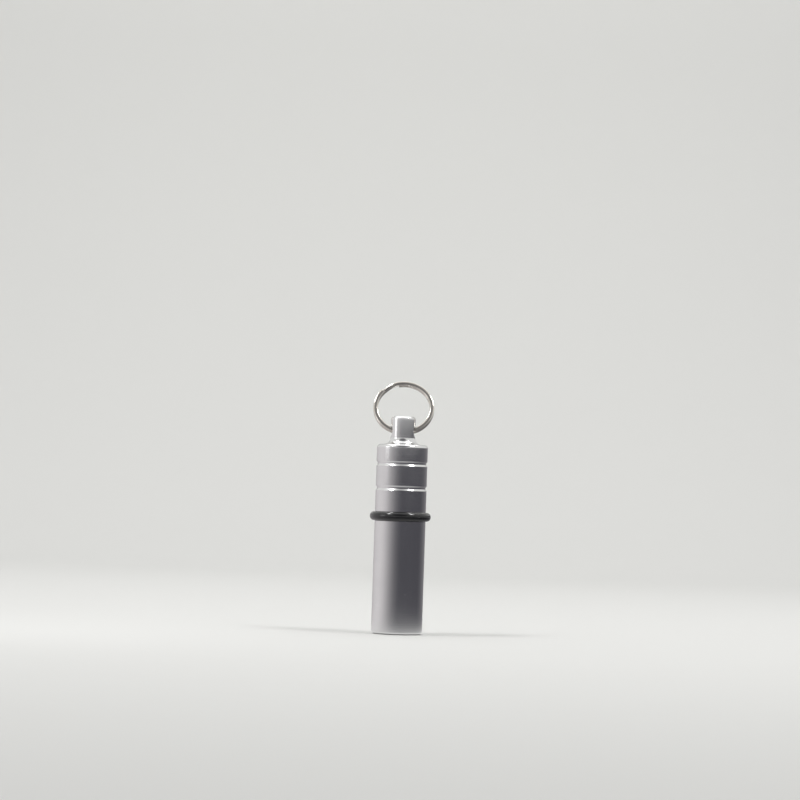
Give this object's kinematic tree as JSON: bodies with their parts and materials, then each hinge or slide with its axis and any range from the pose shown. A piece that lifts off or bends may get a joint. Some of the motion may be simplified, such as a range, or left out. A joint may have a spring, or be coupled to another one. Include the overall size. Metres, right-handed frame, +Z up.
{
  "type": "pill fob keychain",
  "caption": "Slim cylindrical metal pill holder with a grooved screw cap, a black rubber seal ring and a split key ring through a cross-drilled post.",
  "frame": {"origin": "centre of the vial's flat base", "axes": "+Z up the turned axis towards the key ring; the pictured side faces -Y, so the ring leans back towards +Y and the cross hole runs along X"},
  "size_m": [0.0114, 0.0116, 0.0474],
  "materials": {
    "vial_metal": "satin turned aluminium",
    "cap_metal": "satin turned aluminium",
    "seal_rubber": "semi-gloss black rubber",
    "ring_plate": "bright nickel plate on spring steel"
  },
  "bodies": {
    "vial": {"vial": "vial_metal"},
    "seal": {"seal_ring": "seal_rubber"},
    "cap": {"cap": "cap_metal"},
    "key_ring": {"split_ring": "ring_plate"}
  },
  "joints": [
    {"name": "cap_turn", "type": "hinge", "parent": "vial", "child": "seal", "pos_m": [0, 0, 0.02184], "axis": [0, 0, 1], "range_deg": [0, 1800]},
    {"name": "cap_lift", "type": "slide", "parent": "seal", "child": "cap", "axis": [0, 0, 1], "range_m": [0, 0.00375]},
    {"name": "ring_swing", "type": "hinge", "parent": "cap", "child": "key_ring", "pos_m": [0, 0, 0.03781], "axis": [1, 0, 0], "range_deg": [-105, 165]}
  ],
  "couplings": [
    {"joint": "cap_lift", "follows": "cap_turn", "m_per_rad": 0.00011937}
  ]
}
